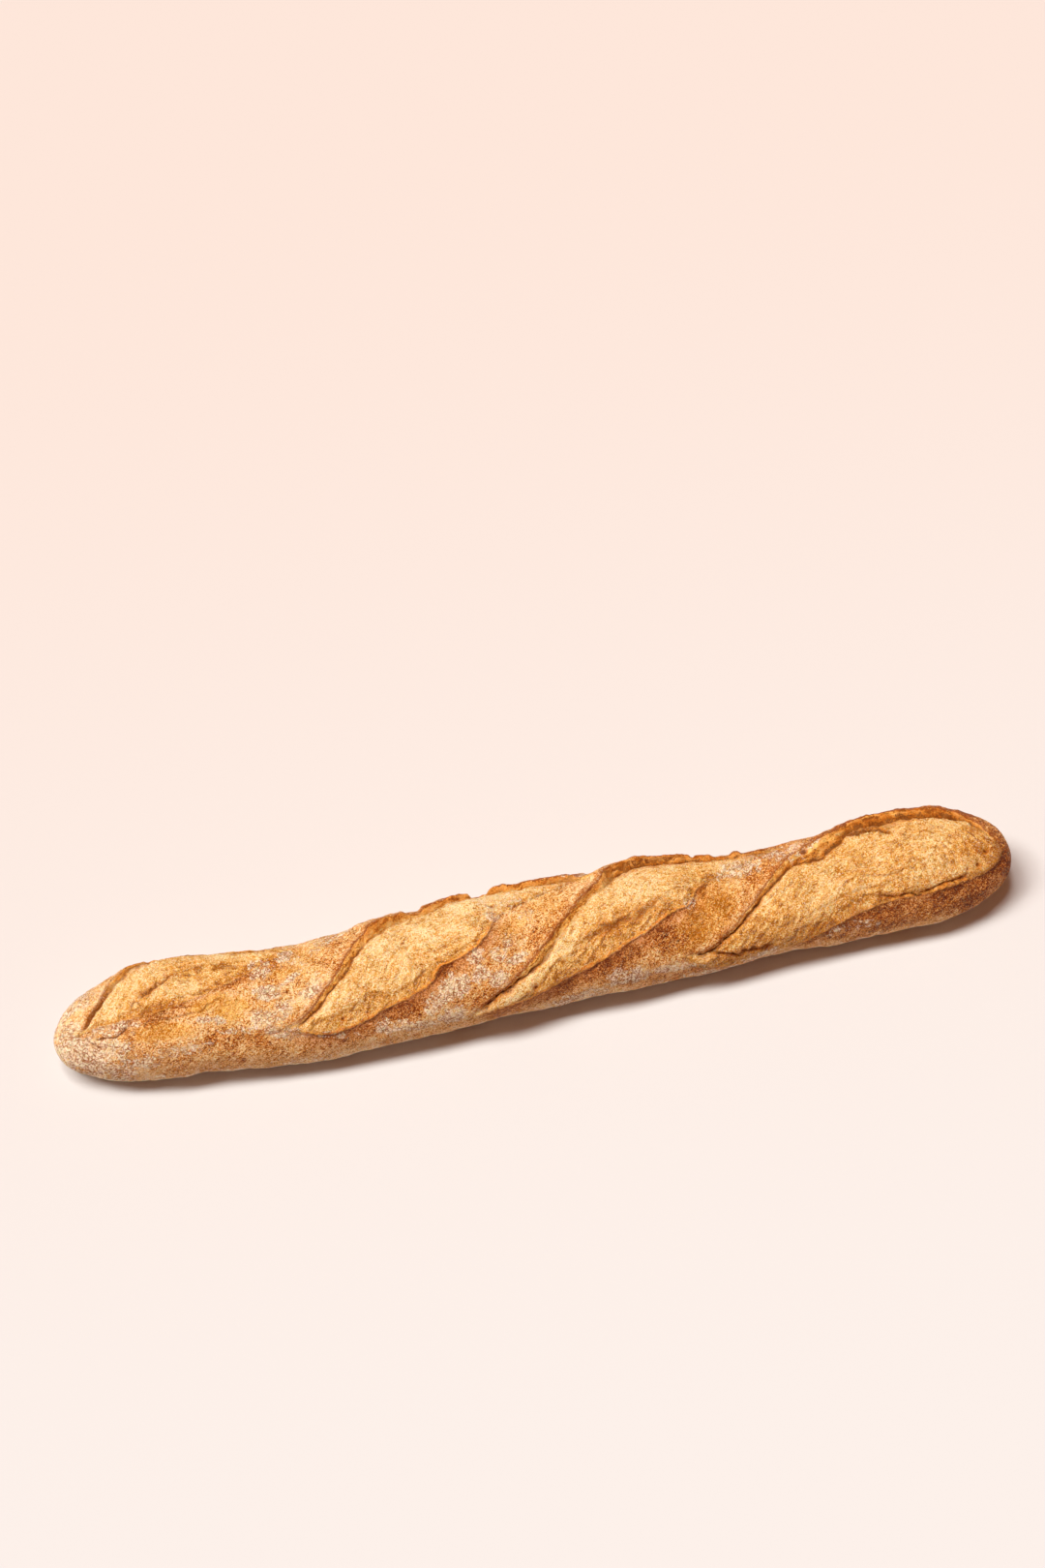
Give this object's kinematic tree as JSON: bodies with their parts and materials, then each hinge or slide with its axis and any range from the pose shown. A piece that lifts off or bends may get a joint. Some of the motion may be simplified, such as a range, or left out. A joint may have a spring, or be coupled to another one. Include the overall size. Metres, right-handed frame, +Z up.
{
  "type": "baguette",
  "caption": "Long crusty wheat loaf with rounded ends, a flat base and diagonal slashes that opened into raised crust ears along the crown.",
  "frame": {"origin": "on the resting plane, midway along the loaf and midway across it", "axes": "+X along the loaf, +Z up through the crown, -Y towards the side where the slashes come lowest"},
  "size_m": [0.55, 0.0758, 0.0527],
  "materials": {
    "crust": "golden brown baked crust, matt to slightly satin, floury in patches, with paler torn crumb in the slashes"
  },
  "bodies": {
    "root": {"baguette": "crust"}
  },
  "joints": []
}
